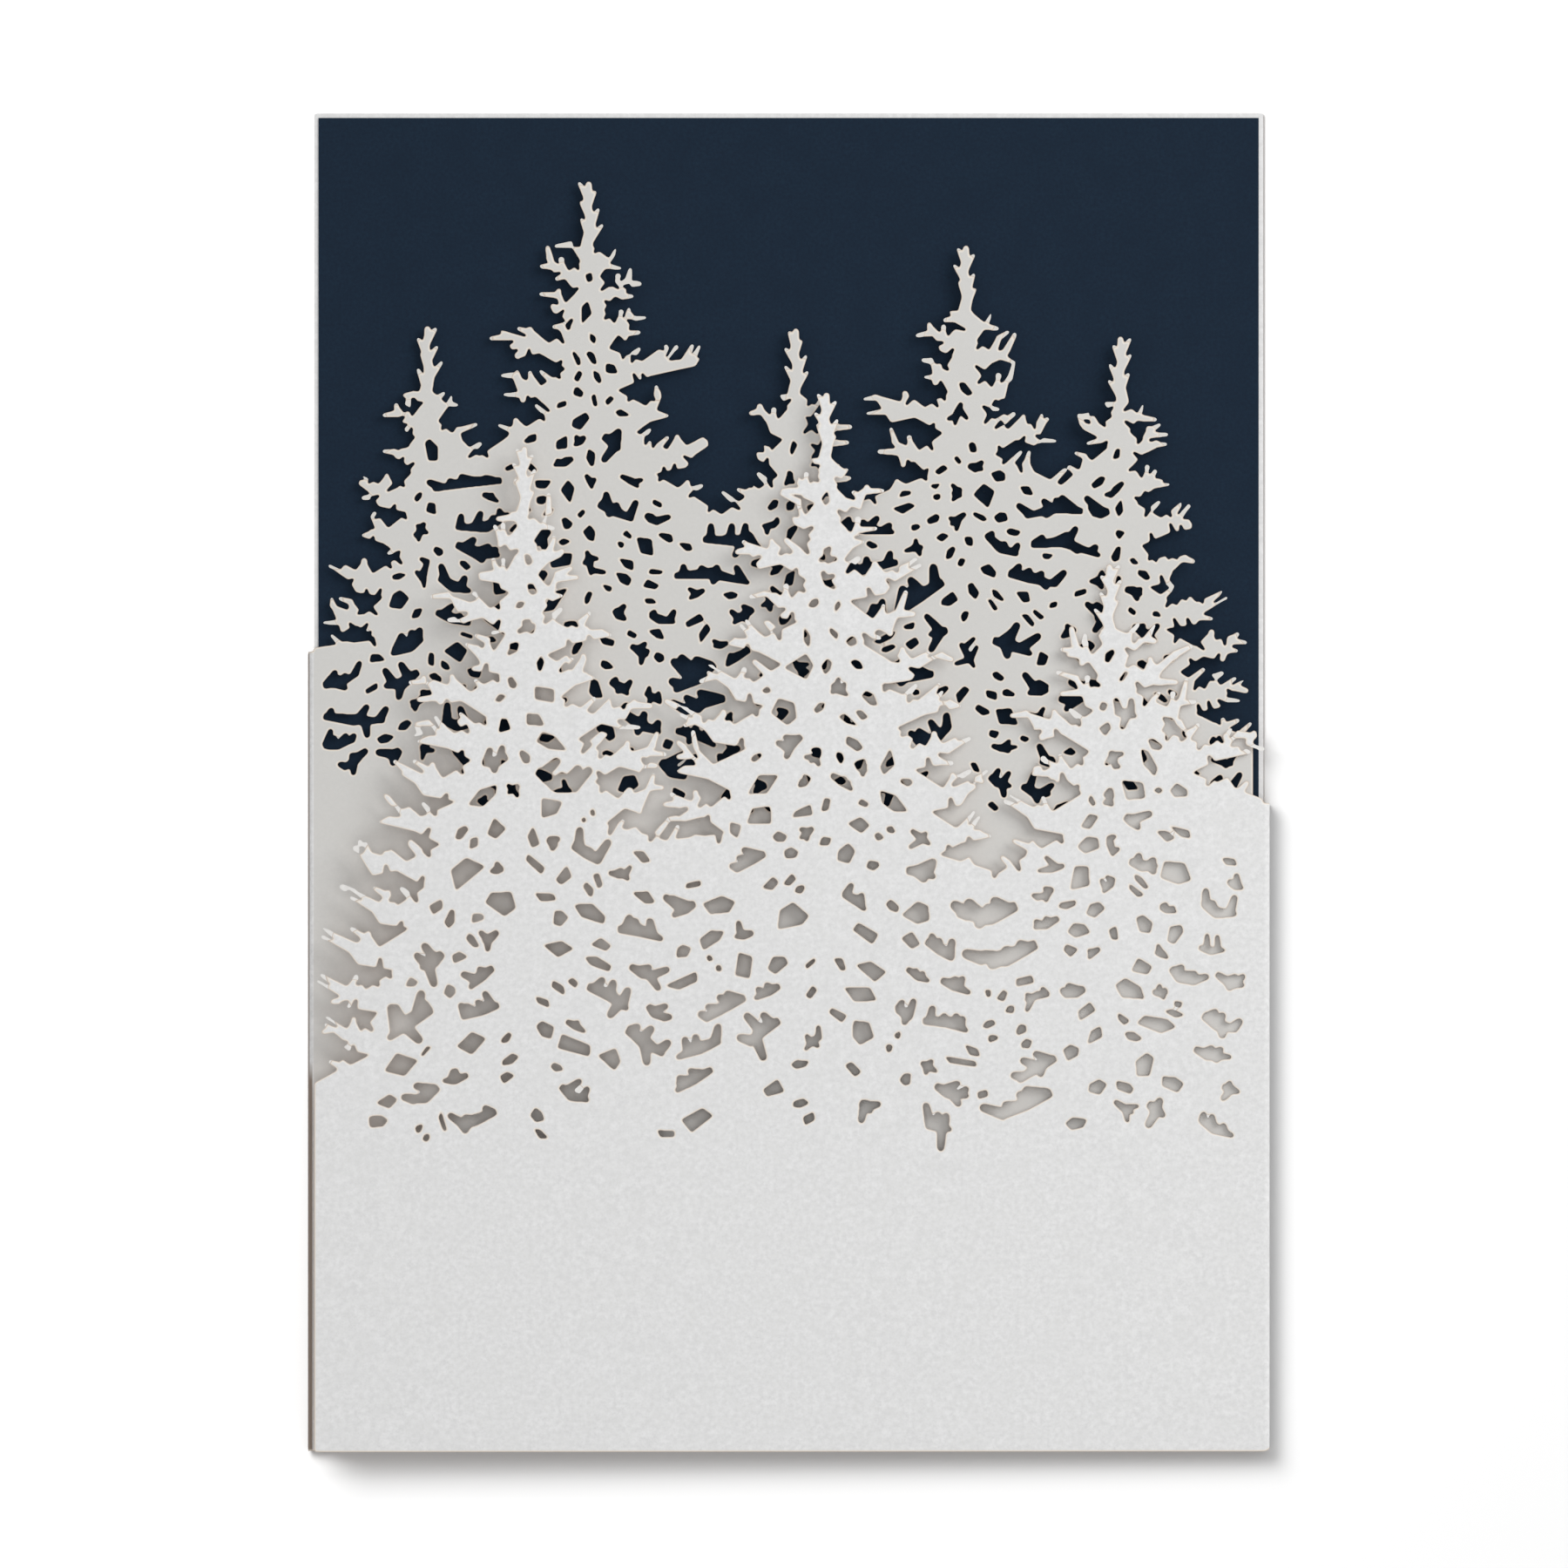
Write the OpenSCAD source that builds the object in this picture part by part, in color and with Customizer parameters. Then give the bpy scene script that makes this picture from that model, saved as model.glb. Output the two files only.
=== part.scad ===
// Holiday card: one sheet of pearl card with two folds. The back panel carries a navy liner, and the two
// flaps, far forest and near forest, are cut into rows of fir trees that lie over it.

/* [Panel] */
// Width of the back panel, from fold line to fold line
panel_w = 126.2; // [112:0.1:150]
// Height of the card
panel_h = 177.8; // [155:0.1:210]
// Thickness of the pearl card
card_t = 0.3; // [0.2:0.05:0.4]

/* [Liner] */
// Thickness of the navy liner
liner_t = 0.2; // [0.1:0.05:0.4]
// Pearl border that shows round the liner
liner_border = 0.6; // [0.4:0.1:2]

/* [Folds] */
// Inside radius of each bend
bend_r = 0.5; // [0.3:0.05:0.8]
// Air between the liner and the far flap, at the far flap's fold
far_air = 0.8; // [0.6:0.1:1.5]
// Air between the far flap's free edge and the near flap
near_air = 0.4; // [0.3:0.1:1]
// Slope at which the far flap springs up, in degrees
far_tilt = 0.5; // [0:0.1:1]
// Slope at which the near flap springs up, in degrees
near_tilt = 1.1; // [0:0.1:1.5]
// Gap from the far flap's free edge to the near flap's fold line
far_edge_gap = 1.4; // [1:0.1:4]
// Gap from the near flap's free edge to the far flap's fold line
near_edge_gap = 0.1; // [0:0.1:4]

/* [Branches] */
// Half-width that a tree of the far forest gains for each millimetre below its tip
far_spread = 0.4; // [0.36:0.01:0.44]
// Half-width that a tree of the near forest gains for each millimetre below its tip
near_spread = 0.36; // [0.34:0.01:0.4]
// Spacing of the branches on the lower part of a tree
tier_pitch = 5.6; // [5:0.1:8]
// Length of the longest branch, from the notch to its tip
branch_len = 7.5; // [5:0.5:10]
// Half-width of the bare spire at a tree's tip
spire_half = 0.6; // [0.4:0.05:0.8]

/* [Cut-outs] */
// Usual width of the cell that holds one cut-out
cell_w = 5.2; // [4.5:0.1:8]
// Height of a row of cells
row_h = 4.6; // [4.2:0.1:8]
// Narrowest strip of card left between two cut-outs
web = 0.8; // [0.6:0.05:1.1]
// Plain margin along a straight edge or a fold
margin = 2.5; // [2:0.1:5]
// Height above the bottom edge at which the far forest's cut-outs end
far_floor = 84; // [60:1:95]
// Height above the bottom edge at which the near forest's cut-outs end
near_floor = 40; // [20:1:55]

/* [Hidden] */
$fn = 64;

PEARL = [0.87, 0.87, 0.86];
NAVY = [0.12, 0.17, 0.22];

// Tree tips as shares of the panel's width and height, from left to right
far_shares = [[0.12, 0.84], [0.29, 0.948], [0.508, 0.838], [0.687, 0.9], [0.85, 0.832]];
near_shares = [[0.222, 0.75], [0.54, 0.79], [0.838, 0.662]];
// Heights at which each forest meets its left and right edges, as shares of the panel's height
far_sides = [0.6, 0.53];
near_sides = [0.275, 0.487];
// Random patterns of the two forests
far_seed = 11;
near_seed = 47;

// Tiers: spacing at the tip as a share of the pitch, and the tiers over which it grows to the full pitch
young_step = 0.45;
young_tiers = 3.6;
// Depth of the first branch on the left and on the right of a tree, in tiers, so that the sides alternate
left_start = 0.45;
right_start = 0.7;
// Slimness of the tip as a share of the full spread, and the tiers over which the tree fills out
slim_share = 0.5;
slim_tiers = 2;
// Share by which branches reach past the line from tip to foot, and share of a reach that the notches leave
reach_over = 1.12;
notch_share = 0.3;
// Reach of each branch from the tip down, as a share of the full one: a slim crown over long boughs
REACHES = [0.8, 0.85, 0.9, 0.95, 0.7, 1.35, 0.85, 1.1];
// Depth in tiers down to which branches are plain barbs
barb_tiers = 1.9;
// Shortest branch as a share of its reach, and least slope at which a branch rises
short_branch = 0.8;
branch_lift = 0.08;
// What the crown adds to that slope at the tip, and the tiers over which it fades
crown_lift = 0.5;
crown_tiers = 4;
// Height of the twig between the last branch and the foot, as a share of the drop there
twig_rise = 0.35;
// Room that branches keep from a fold, and length by which a fold ends below the top of its flap's edge
fold_clear = 0.8;
fold_relief = 0.5;

// Rows of cut-outs: depth in tiers at which they start, and how much a row sinks towards its outer end
first_row = 1.5;
droop = 0.25;
// Plain trunk: the depth below which it shows, how fast it widens, and how far its sides waver
trunk_depth = 45;
trunk_growth = 0.06;
trunk_waver = 2.2;
// Least cell as a share of the usual one, random shift of a cell's sides, and proportion of a long cell
least_cell = 0.32;
cell_shift = 0.42;
long_ratio = 1.1;
// Least width and height of a cut-out as shares of its cell
least_cut_w = 0.6;
least_cut_h = 0.4;
// Share of the cut-outs left out everywhere and at the floor, and the height over which the rows fill up
bare_share = 0.06;
thin_share = 0.45;
thin_h = 21;

// Width of the far flap and the room that the folds leave above the back panel
far_flap_w = panel_w - far_edge_gap;
far_inside = liner_t + far_air;
near_inside = far_inside + card_t + far_flap_w * sin(far_tilt) + near_air;

// Branch outlines, from the notch above to the notch below. The first number runs from the body of the tree
// to the tip of the branch, and the second is height in tiers.
BARB = [[0.5, 0], [1, 0.42], [0.8, 0], [0, -0.46]];
FINGER = [[0.2, 0.08], [0.35, 0.42], [0.5, 0.12], [0.92, 0.36], [1, 0.16], [0.62, -0.14], [0.5, -0.4],
          [0, -0.44]];
FORK = [[0.3, 0.14], [0.62, 0.5], [0.74, 0.36], [0.6, 0.06], [1, 0.02], [0.94, -0.16], [0.4, -0.24],
        [0, -0.46]];
TUFT = [[0.26, 0.1], [0.55, 0.44], [0.6, 0.18], [1, 0.3], [0.86, -0.04], [0.74, -0.34], [0.4, -0.16],
        [0, -0.46]];
SPRIGS = [FINGER, FORK, TUFT];
// Rounded end of a spire, in spire half-widths
KNOB = [[-0.9, -1.8], [-0.9, -0.2], [0.2, 0.4], [0.9, -1.2]];
// Twig on the way from the last notch to the foot, with its height as a share of the rise
TWIG = [[0.35, 0], [0.5, 1], [0.6, 0.1]];

// Cut-out shapes, each in a cell from -1 to 1 with the trunk to the left: those for short and for long cells
KITE = [[-0.9, 0.1], [0, 1], [1, -0.2], [0.1, -0.9]];
SLIVER = [[-1, 0.4], [-0.4, 1], [1, -0.3], [0.5, -0.9]];
CHIP = [[-1, 0.2], [-0.4, 0.9], [0.8, 0.5], [1, -0.5], [-0.3, -0.9]];
DART = [[-1, 0.4], [0.2, 0.3], [0.6, 1], [1, -0.4], [0.2, -0.9]];
HEEL = [[-1, 0.1], [-0.2, 0.9], [0.9, 0.4], [1, -0.9], [0.5, -1], [0.2, -0.1]];
BIRD = [[-1, 0.6], [-0.1, 0.2], [0.6, 1], [1, -0.4], [0.1, -0.5], [-0.3, -1], [-0.4, -0.2]];
COMB = [[-1, 0.6], [-0.4, 0.1], [-0.2, 0.9], [0.2, 0.1], [0.5, 0.8], [1, -0.3], [0.3, -1], [-0.6, -0.6]];
SHORT = [KITE, SLIVER, CHIP, DART];
LONG = [SLIVER, CHIP, HEEL, BIRD, COMB];

function reversed(list) = [for (i = [len(list) - 1:-1:0]) list[i]];

// Spacing of the branches at a depth below the tip, and the depths of all branches down to a limit
function grown(least, tiers, depth) = min(1, least + (1 - least) * depth / (tiers * tier_pitch));
function tier_step(depth) = tier_pitch * grown(young_step, young_tiers, depth);
function tier_depths(limit, depth) =
    depth + tier_step(depth) / 2 + spire_half / 2 > limit ? [] :
    concat([depth], tier_depths(limit, depth + tier_step(depth)));
function side_start(tip, foot) = foot[0] < tip[0] ? left_start : right_start;

// A foot is where one side of a tree ends: its place, then the room that branches and cut-outs keep from it
function valley(a, b, spread) =
    let (y = (a[1] + b[1]) / 2 - (b[0] - a[0]) / (2 * spread))
    [a[0] + spread * (a[1] - y), y, web / 2, web / 2];
function feet(tips, spread, left, right) =
    [left, for (k = [1:1:len(tips) - 1]) valley(tips[k - 1], tips[k], spread), right];

// Half-width of one side of a tree at a depth, out to the branch tips and in to the notches
function tip_reach(tip, foot, depth, share) =
    let (slope = reach_over * abs(foot[0] - tip[0]) / (tip[1] - foot[1]))
    let (reach = share * slope * depth * grown(slim_share, slim_tiers, depth))
    min(abs(foot[0] - tip[0]) - foot[2], max(2 * spire_half, reach));
function notch_reach(tip, foot, depth) =
    let (reach = tip_reach(tip, foot, depth, 1))
    max(spire_half, notch_share * reach, reach - branch_len);

// Outline of one branch, and of all the branches on one side of a tree
function branch(tip, foot, depth, tier, seed) =
    let (luck = rands(0, 1, 3, seed))
    let (inner = notch_reach(tip, foot, depth))
    let (outer = tip_reach(tip, foot, depth, REACHES[min(tier, len(REACHES) - 1)]))
    let (length = (outer - inner) * (short_branch + (1 - short_branch) * luck[0]))
    let (lift = branch_lift * (1 + luck[2]) + crown_lift * max(0, 1 - depth / (crown_tiers * tier_pitch)))
    let (shape = depth < barb_tiers * tier_pitch ? BARB : SPRIGS[floor(luck[1] * len(SPRIGS))])
    [for (p = shape)
        let (out = length * p[0])
        [tip[0] + sign(foot[0] - tip[0]) * (inner + out),
         tip[1] - depth + tier_step(depth) * p[1] + lift * out]];
function twig(notch, foot) =
    [for (p = TWIG)
        [notch[0] + (foot[0] - notch[0]) * p[0],
         notch[1] + (foot[1] - notch[1]) * (p[0] - twig_rise * p[1])]];
function tree_side(tip, foot, seed) =
    let (depths = tier_depths(tip[1] - foot[1], side_start(tip, foot) * tier_pitch))
    let (branches = [for (i = [0:1:len(depths) - 1]) each branch(tip, foot, depths[i], i, seed + depths[i])])
    concat(branches, twig(branches[len(branches) - 1], foot));

// Outline of a whole flap, up from its bottom left corner and over the trees
function outline(tips, feet, seed) =
    [[feet[0][0], 0],
     for (k = [0:1:len(tips) - 1]) each concat(
        [[feet[k][0], feet[k][1]]],
        reversed(tree_side(tips[k], feet[k], seed + 200 * k)),
        [for (p = KNOB) tips[k] + spire_half * p],
        tree_side(tips[k], feet[k + 1], seed + 200 * k + 100)),
     [feet[len(tips)][0], feet[len(tips)][1]],
     [feet[len(tips)][0], 0]];

// A row of cells from the trunk outwards, as the distances of their sides
function cells(inner, outer, seed) =
    let (count = floor((outer - inner) / cell_w + 1 - least_cell))
    let (luck = rands(-cell_shift, cell_shift, max(count, 1) + 1, seed))
    count < 1 ? [] :
    [for (c = [0:1:count]) inner + (outer - inner) * (c + (c > 0 && c < count ? luck[c] : 0)) / count];

// One cut-out, set at random inside its cell, whose sides and top are distances from the tree's axis and tip
function cut_out(tip, way, from, to, top, luck) =
    let (shapes = to - from > long_ratio * row_h ? LONG : SHORT)
    let (half_w = (to - from - web) / 2 * (least_cut_w + (1 - least_cut_w) * luck[0]))
    let (half_h = (row_h - web) / 2 * (least_cut_h + (1 - least_cut_h) * luck[1]))
    let (mid_x = from + web / 2 + half_w + (to - from - web - 2 * half_w) * luck[2])
    let (mid_y = top + web / 2 + half_h + (row_h - web - 2 * half_h) * luck[3])
    [for (p = shapes[floor(luck[4] * len(shapes))])
        let (x = mid_x + half_w * p[0])
        [tip[0] + way * x, tip[1] - mid_y + half_h * p[1] - droop * x]];

// Cut-outs on one side of a tree, in rows inside its notches and, past its foot, on down to the floor
function cut_outs(tip, foot, floor_y, seed) =
    let (start = (first_row + side_start(tip, foot)) * tier_pitch)
    [for (top = [start:row_h:tip[1] - floor_y - row_h])
        let (waver = trunk_waver * min(1, top / trunk_depth) * rands(0, 1, 1, seed + 10 * top)[0])
        let (inner = web / 2 + waver + trunk_growth * max(0, top - trunk_depth))
        let (outer = top < tip[1] - foot[1] ? notch_reach(tip, foot, top) - web / 2 :
                     abs(foot[0] - tip[0]) - foot[3] + web / 2)
        let (sides = cells(inner, outer, seed + 10 * top))
        for (c = [0:1:len(sides) - 2])
            let (luck = rands(0, 1, 6, seed + 10 * top + c + 1))
            let (height = tip[1] - top - row_h - droop * sides[c + 1] - floor_y)
            if (height > 0 && luck[5] > max(bare_share, thin_share * (1 - height / thin_h)))
                cut_out(tip, sign(foot[0] - tip[0]), sides[c], sides[c + 1], top, luck)];

far_tips = [for (s = far_shares) [s[0] * panel_w, s[1] * panel_h]];
far_feet = feet(far_tips, far_spread, [0, far_sides[0] * panel_h, fold_clear, margin],
                [far_flap_w, far_sides[1] * panel_h, 0, margin]);
near_tips = [for (s = near_shares) [s[0] * panel_w, s[1] * panel_h]];
near_feet = feet(near_tips, near_spread, [near_edge_gap, near_sides[0] * panel_h, 0, margin],
                 [panel_w, near_sides[1] * panel_h, fold_clear, margin]);

// A cut flap, flat, with the bottom left corner of the back panel at the origin
module forest(tips, feet, floor_y, seed) {
    difference() {
        polygon(outline(tips, feet, seed));
        for (k = [0:1:len(tips) - 1]) {
            for (hole = cut_outs(tips[k], feet[k], floor_y, seed + 2000 * k)) {
                polygon(hole);
            }
            for (hole = cut_outs(tips[k], feet[k + 1], floor_y, seed + 2000 * k + 1000)) {
                polygon(hole);
            }
        }
    }
}

// A quarter bend about the y axis, from one angle on through another
module bend(radius, from, turn, length) {
    translate([0, length, 0])
        rotate([90, 0, 0])
            rotate_extrude(angle = turn, start = from)
                translate([radius, 0])
                    square([card_t, length]);
}

// A fold up the left edge of the back panel, with the flap on it, which leaves the fold at a slope
module fold(inside, slope, length) {
    radius = min(bend_r, inside / 2);
    spine = inside - 2 * radius;
    translate([0, 0, card_t + radius])
        bend(radius, 180, 90, length);
    if (spine > 0) {
        translate([-radius - card_t, 0, card_t + radius])
            cube([card_t, length, spine]);
    }
    translate([0, 0, card_t + radius + spine]) {
        bend(radius, 90 + slope, 90 - slope, length);
        rotate([0, -slope, 0])
            translate([0, 0, radius])
                linear_extrude(card_t)
                    children();
    }
}

module folded_card() {
    color(PEARL)
        translate([-panel_w / 2, -panel_h / 2, 0]) {
            cube([panel_w, panel_h, card_t]);
            fold(far_inside, far_tilt, far_feet[0][1] - fold_relief)
                forest(far_tips, far_feet, far_floor, far_seed);
            translate([panel_w, 0, 0])
                mirror([1, 0, 0])
                    fold(near_inside, near_tilt, near_feet[len(near_tips)][1] - fold_relief)
                        translate([panel_w, 0, 0])
                            mirror([1, 0, 0])
                                forest(near_tips, near_feet, near_floor, near_seed);
        }
}

module navy_liner() {
    color(NAVY)
        translate([liner_border - panel_w / 2, liner_border - panel_h / 2, card_t])
            cube([panel_w - 2 * liner_border, panel_h - 2 * liner_border, liner_t]);
}

folded_card();
navy_liner();
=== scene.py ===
import math
from collections import deque

import bpy
import numpy as np
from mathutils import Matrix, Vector, noise
from mathutils.geometry import delaunay_2d_cdt


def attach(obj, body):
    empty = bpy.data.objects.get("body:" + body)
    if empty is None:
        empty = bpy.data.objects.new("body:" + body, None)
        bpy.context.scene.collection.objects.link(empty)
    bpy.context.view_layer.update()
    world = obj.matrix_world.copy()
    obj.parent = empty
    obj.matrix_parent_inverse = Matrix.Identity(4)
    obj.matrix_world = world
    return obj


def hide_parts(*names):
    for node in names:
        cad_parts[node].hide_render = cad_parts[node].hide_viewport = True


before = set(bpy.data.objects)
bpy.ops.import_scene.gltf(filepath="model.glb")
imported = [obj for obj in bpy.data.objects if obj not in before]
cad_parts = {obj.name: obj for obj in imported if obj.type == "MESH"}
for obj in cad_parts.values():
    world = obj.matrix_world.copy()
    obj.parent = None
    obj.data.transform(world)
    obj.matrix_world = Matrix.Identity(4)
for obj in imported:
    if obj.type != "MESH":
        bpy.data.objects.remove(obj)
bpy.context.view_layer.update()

MM = 0.001

# Sizes of the sheet and the liner, as in the solids
PANEL_W, PANEL_H, CARD_T = 126.2, 177.8, 0.3
LINER_T, LINER_BORDER = 0.2, 0.6
HALF_W, HALF_H = PANEL_W / 2, PANEL_H / 2
BEND_R = 0.5
SPINE_H = 1.789
FAR_SLOPE, NEAR_SLOPE = math.radians(0.5), math.radians(1.1)
FAR_W, NEAR_W = 124.8, 126.1
FAR_FOLD_TOP, NEAR_FOLD_TOP = 17.28, -2.81
FAR_AXIS_Z = CARD_T + BEND_R
NEAR_AXIS_Z = FAR_AXIS_Z + SPINE_H

# Tips of the trees, as distances from the left edge and the bottom edge of the card
FAR_TIPS = [(share_x * PANEL_W, share_y * PANEL_H) for share_x, share_y in
            ((0.12, 0.84), (0.29, 0.948), (0.508, 0.838), (0.687, 0.9), (0.85, 0.832))]
NEAR_TIPS = [(share_x * PANEL_W, share_y * PANEL_H) for share_x, share_y in
             ((0.222, 0.75), (0.54, 0.79), (0.838, 0.662))]

# Grid on which the sheet is cut, with spare room round it, and the softness of the cutter's corners
PITCH = 0.1
SPARE = 2.0
CUT_SOFTNESS = 0.19
CUT_LEVEL, RIM_LEVEL = 0.5, 0.93
LINE_TOLERANCE = 0.015
LEAST_AREA = 0.12

# Room between cuts, round the place a cut or needle starts from, and beside the folds
WEB = 0.5
ROOT_ROOM, NICK_ROOM, FORK_ROOM = 1.0, 0.75, 2.4
FAR_FOLD_ROOM, NEAR_FOLD_ROOM = 0.8, 2.2
NEEDLE_CELLS, ROUND_CELLS = 4, 18
LEAST_CHIP_HALF = 0.5

# Drop of the cut edges, lap of the folds on the flaps, eased corner of the near fold, and the height up to
# which the far fold's scorched crease is widened into a painted shade
EDGE_DROP = 0.04
FOLD_LAP = 0.3
CORNER_R = 0.45
FOLD_SHADE_TOP = -39.6

# Crown of a tree: depth of its slim leader, and spacing of the barbs on it
CROWN_DEPTH, CROWN_PITCH = 8.6, 1.25


# The path along which the sheet is folded

def arc(centre_x, centre_z, start, end, steps=14):
    """Points of a bend's inner face, from one angle to another in degrees."""
    return [(centre_x + BEND_R * math.cos(math.radians(a)), centre_z + BEND_R * math.sin(math.radians(a)))
            for a in np.linspace(start, end, steps + 1)]


def on_far(distance):
    """Point of the far flap's inner face at a distance from its fold."""
    c, s = math.cos(FAR_SLOPE), math.sin(FAR_SLOPE)
    return (-HALF_W + distance * c - BEND_R * s, FAR_AXIS_Z + distance * s + BEND_R * c)


def on_near(distance):
    """Point of the near flap's inner face at a distance from its fold."""
    c, s = math.cos(NEAR_SLOPE), math.sin(NEAR_SLOPE)
    return (HALF_W - distance * c + BEND_R * s, NEAR_AXIS_Z + distance * s + BEND_R * c)


EASE = 0.05
RUNS = [
    [on_far(FAR_W + SPARE), on_far(EASE)],
    arc(-HALF_W, FAR_AXIS_Z, 90 + math.degrees(FAR_SLOPE), 270, 24),
    [(-HALF_W + EASE, CARD_T), (HALF_W - EASE, CARD_T)],
    arc(HALF_W, FAR_AXIS_Z, 270, 360),
    [(HALF_W + BEND_R, FAR_AXIS_Z + EASE), (HALF_W + BEND_R, NEAR_AXIS_Z - EASE)],
    arc(HALF_W, NEAR_AXIS_Z, 0, 90 - math.degrees(NEAR_SLOPE)),
    [on_near(EASE), on_near(NEAR_W + SPARE)],
]
PATH = np.array([p for run in RUNS for p in run])
LENGTHS = np.concatenate([[0], np.cumsum(np.hypot(*np.diff(PATH, axis=0).T))]) - SPARE


def run_length(run, last):
    """Length along the sheet at which a run of the path starts or ends."""
    count = sum(len(r) for r in RUNS[:run])
    return LENGTHS[count + (len(RUNS[run]) - 1 if last else 0)]


FAR_FOLD, BACK_START = run_length(1, False), run_length(1, True)
BACK_END, NEAR_FOLD = run_length(3, False), run_length(5, True)
SHEET_END = NEAR_FOLD + NEAR_W


# Cutting the sheet

ORIGIN = np.array([-SPARE, -HALF_H - SPARE])
COLUMNS = int(math.ceil((SHEET_END + 2 * SPARE) / PITCH))
ROWS = int(math.ceil((PANEL_H + 2 * SPARE) / PITCH))
card = np.zeros((ROWS, COLUMNS), bool)


def flap_loops(node, way, axis_z, slope):
    """Loops round a flap's outer face, as distances from its fold and heights."""
    mesh = node.data
    co = np.empty(len(mesh.vertices) * 3)
    mesh.vertices.foreach_get("co", co)
    co = co.reshape(-1, 3) / MM
    across, up = HALF_W + way * co[:, 0], co[:, 2] - axis_z
    c, s = math.cos(slope), math.sin(slope)
    flat = np.column_stack([across * c + up * s, co[:, 1]])
    outer = (np.abs(up * c - across * s - BEND_R - CARD_T) < 0.02) & (flat[:, 0] > -0.01)
    key = [tuple(p) for p in np.round(flat, 3)]
    following = {}
    for face in mesh.polygons:
        ids = list(face.vertices)
        if outer[ids].all():
            for a, b in zip(ids, ids[1:] + ids[:1]):
                if following.get(key[b]) and key[a] in following[key[b]]:
                    following[key[b]].remove(key[a])
                else:
                    following.setdefault(key[a], []).append(key[b])
    loops = []
    while True:
        start = next((k for k, v in following.items() if v), None)
        if start is None:
            return sorted(loops, key=lambda p: -abs(area(p)))
        loop, at = [], start
        while following[at]:
            loop.append(at)
            at = following[at].pop()
        loops.append(np.array(loop))


def area(loop):
    """Signed area of a loop."""
    x, y = np.asarray(loop).T
    return 0.5 * float(np.dot(x, np.roll(y, -1)) - np.dot(y, np.roll(x, -1)))


def grid_window(low, high, margin=0):
    """Window of the grid between two corners, with a margin."""
    return slice(low[1] - margin, high[1] + margin), slice(low[0] - margin, high[0] + margin)


def cover(loop):
    """Window of the grid round a loop, and the mask of the points inside it."""
    p = (np.asarray(loop, float) - ORIGIN) / PITCH
    low = np.floor(p.min(0)).astype(int)
    high = np.ceil(p.max(0)).astype(int) + 2
    flips = np.zeros((high[1] - low[1], high[0] - low[0]), np.int32)
    p = p - low
    for a, b in zip(p, np.roll(p, -1, 0)):
        if a[1] > b[1]:
            a, b = b, a
        rows = np.arange(math.ceil(a[1]), math.ceil(b[1]))
        if len(rows):
            x = a[0] + (rows - a[1]) * (b[0] - a[0]) / (b[1] - a[1])
            np.add.at(flips, (rows, np.ceil(x).astype(int)), 1)
    return grid_window(low, high), np.cumsum(flips, 1) % 2 == 1


def widen(mask, cells):
    """The mask, padded and grown by some cells on all sides."""
    wide = np.pad(mask, cells)
    for axis in (0, 1):
        grown = wide.copy()
        for k in range(1, cells + 1):
            grown |= np.roll(wide, k, axis) | np.roll(wide, -k, axis)
        wide = grown
    return wide


def away_from(root, window, room):
    """Points of a window that lie away from the place where a cut or needle starts."""
    rows = np.arange(window[0].start, window[0].stop) * PITCH + ORIGIN[1] - root[1]
    columns = np.arange(window[1].start, window[1].stop) * PITCH + ORIGIN[0] - root[0]
    return np.hypot(rows[:, None], columns[None, :]) > room


def oblong(low, high):
    """Corners of a plain rectangle."""
    return [(low[0], low[1]), (high[0], low[1]), (high[0], high[1]), (low[0], high[1])]


def spike(root, tip, half, end_half):
    """Tapered finger from a root to a rounded tip."""
    root, tip = np.asarray(root, float), np.asarray(tip, float)
    along = tip - root
    length = max(np.hypot(*along), 1e-6)
    along = along / length
    side = np.array([-along[1], along[0]])
    return [root - half * side, tip - end_half * side, tip + 0.7 * end_half * (along - 0.7 * side),
            tip + 0.7 * end_half * (along + 0.7 * side), tip + end_half * side, root + half * side]


def disc(centre, radius, corners=10):
    """Round dot."""
    return [(centre[0] + radius * math.cos(a), centre[1] + radius * math.sin(a))
            for a in np.linspace(0, 2 * math.pi, corners, endpoint=False)]


def fold_corner():
    """What is taken off the near fold's lower corner to ease it."""
    steps = ((0.15, -0.05), (0.6, 0.5 * CORNER_R), (0.8, CORNER_R))
    return ([(BACK_END + inset, rise - HALF_H) for inset, rise in steps]
            + [(NEAR_FOLD - inset, rise - HALF_H) for inset, rise in reversed(steps)])


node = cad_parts["folded_card"]
far_loops = [np.column_stack([FAR_FOLD - p[:, 0], p[:, 1]])
             for p in flap_loops(node, 1, FAR_AXIS_Z, FAR_SLOPE)]
near_loops = [np.column_stack([NEAR_FOLD + p[:, 0], p[:, 1]])
              for p in flap_loops(node, -1, NEAR_AXIS_Z, NEAR_SLOPE)]
far_trees = [(FAR_FOLD - x, y - HALF_H) for x, y in FAR_TIPS]
near_trees = [(NEAR_FOLD + PANEL_W - x, y - HALF_H) for x, y in NEAR_TIPS]

for loop in (oblong((BACK_START, -HALF_H), (BACK_END, HALF_H)),
             oblong((FAR_FOLD - FOLD_LAP, -HALF_H), (BACK_START + FOLD_LAP, FAR_FOLD_TOP)),
             oblong((BACK_END - FOLD_LAP, -HALF_H), (NEAR_FOLD + FOLD_LAP, NEAR_FOLD_TOP)),
             far_loops[0], near_loops[0]):
    window, mask = cover(loop)
    card[window] |= mask
window, mask = cover(fold_corner())
card[window] &= ~mask
rng = np.random.default_rng(5)
near_card = widen(card, NEEDLE_CELLS)[NEEDLE_CELLS:-NEEDLE_CELLS, NEEDLE_CELLS:-NEEDLE_CELLS]


def turned(vector, angle):
    """A vector turned by an angle."""
    c, s = math.cos(angle), math.sin(angle)
    return np.array([c * vector[0] - s * vector[1], s * vector[0] + c * vector[1]])


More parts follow.
